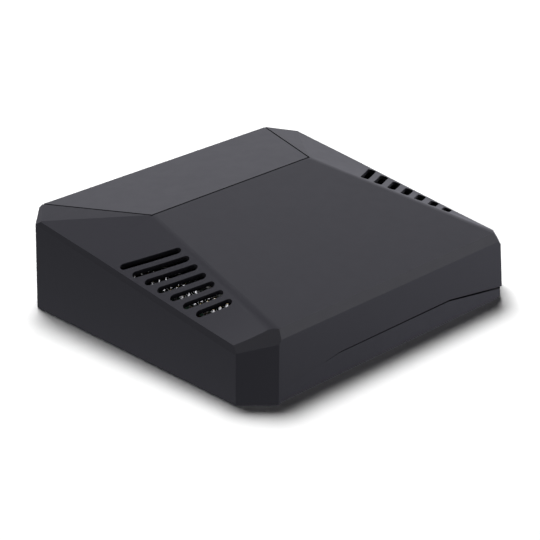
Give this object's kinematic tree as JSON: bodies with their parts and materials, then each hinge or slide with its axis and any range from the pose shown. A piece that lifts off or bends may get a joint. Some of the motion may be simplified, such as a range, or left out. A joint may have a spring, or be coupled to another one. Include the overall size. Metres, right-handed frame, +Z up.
{
  "type": "mesh wifi node",
  "caption": "Low wedge-shaped square network node with cut corners, slanted side vents, a lift-off rear cover, and a rear panel with network jacks, power inlet and buttons.",
  "frame": {"origin": "on the table under the middle of the footprint, at the underside of the rubber feet", "axes": "+X to the right seen from the front, +Y to the rear port panel, +Z up"},
  "size_m": [0.1048, 0.098, 0.0301],
  "materials": {
    "shell_plastic": "smooth satin moulded, very dark grey",
    "cover_plastic": "smooth satin moulded, very dark grey",
    "base_plastic": "fine matt texture, near black",
    "panel_plastic": "matt moulded, near black",
    "button_plastic": "matt moulded, dark grey",
    "plunger_plastic": "natural nylon",
    "switch_plastic": "matt black",
    "foot_rubber": "matt",
    "label_film": "blank silver-grey film label",
    "screw_steel": "black-zinc and plain zinc plated",
    "magnet_nickel": "nickel plated",
    "disc_steel": "zinc plated",
    "main_laminate": "green solder mask",
    "card_laminate": "brown edge under dark green solder mask",
    "antenna_laminate": "black solder mask with a copper track",
    "chip_resin": "moulded, lasered matt",
    "transformer_resin": "moulded black",
    "ferrite": "sintered dark grey",
    "capacitor_can": "drawn can",
    "crystal_can": "nickel silver",
    "pad_silicone": "soft thermal pad",
    "sink_aluminium": "extruded, clear anodised",
    "standoff_brass": "turned",
    "header_plastic": "moulded black",
    "pin_gold": "gold flashed",
    "solder_tin": "bright solder",
    "shield_tin": "tinned steel",
    "lead_jacket": "thin coaxial jacket",
    "jack_steel": "nickel plated",
    "insert_plastic": "moulded black",
    "lamp_plastic": "clear tinted light guide",
    "inlet_plastic": "moulded black",
    "inlet_pin": "nickel plated",
    "lens_plastic": "clear light guide",
    "led_resin": "white package"
  },
  "bodies": {
    "node_body": {"antenna_front_left": "antenna_laminate", "antenna_front_right": "antenna_laminate", "antenna_lead_front_left": "lead_jacket", "antenna_lead_front_right": "lead_jacket", "antenna_lead_side_left": "lead_jacket", "antenna_lead_side_right": "lead_jacket", "antenna_side_left": "antenna_laminate", "antenna_side_right": "antenna_laminate", "base_shell": "base_plastic", "board_screws": "screw_steel", "capacitors": "capacitor_can", "card_header": "header_plastic", "card_screws": "screw_steel", "card_standoffs": "standoff_brass", "case_screws": "screw_steel", "catch_discs": "disc_steel", "coax_connectors": "pin_gold", "crystal": "crystal_can", "ethernet_contacts_lan": "pin_gold", "ethernet_contacts_wan": "pin_gold", "ethernet_insert_lan": "insert_plastic", "ethernet_insert_wan": "insert_plastic", "ethernet_lamps": "lamp_plastic", "ethernet_shell_lan": "jack_steel", "ethernet_shell_wan": "jack_steel", "flash_chip": "chip_resin", "header_pins": "pin_gold", "header_solder": "solder_tin", "heatsink": "sink_aluminium", "heatsink_screws": "screw_steel", "line_transformer_lan": "transformer_resin", "line_transformer_wan": "transformer_resin", "main_board": "main_laminate", "memory_chips": "chip_resin", "port_panel": "panel_plastic", "power_inductor": "ferrite", "power_jack": "inlet_plastic", "power_jack_pin": "inlet_pin", "power_switch": "switch_plastic", "processor": "chip_resin", "radio_card": "card_laminate", "radio_chips": "chip_resin", "rating_label": "label_film", "reset_switch": "switch_plastic", "rubber_feet": "foot_rubber", "shield_frame_24": "shield_tin", "shield_frame_5": "shield_tin", "shield_lid_24": "shield_tin", "shield_lid_5": "shield_tin", "status_led": "led_resin", "status_lens": "lens_plastic", "switch_chip": "chip_resin", "thermal_pad": "pad_silicone", "upper_shell": "shell_plastic"},
    "cover": {"rear_cover": "cover_plastic", "cover_magnets": "magnet_nickel"},
    "power_button_body": {"power_button": "button_plastic", "power_plunger": "plunger_plastic"},
    "reset_button_body": {"reset_button": "button_plastic"}
  },
  "joints": [
    {"name": "cover_lift", "type": "slide", "parent": "node_body", "child": "cover", "axis": [0, 0, 1], "range_m": [0, 0.025]},
    {"name": "power_press", "type": "slide", "parent": "node_body", "child": "power_button_body", "axis": [0, -1, 0], "range_m": [0, 0.0008], "stiffness_N_per_m": 900, "springref_m": -0.0006},
    {"name": "reset_press", "type": "slide", "parent": "node_body", "child": "reset_button_body", "axis": [0, -1, 0], "range_m": [0, 0.0005], "stiffness_N_per_m": 900, "springref_m": -0.0005}
  ]
}
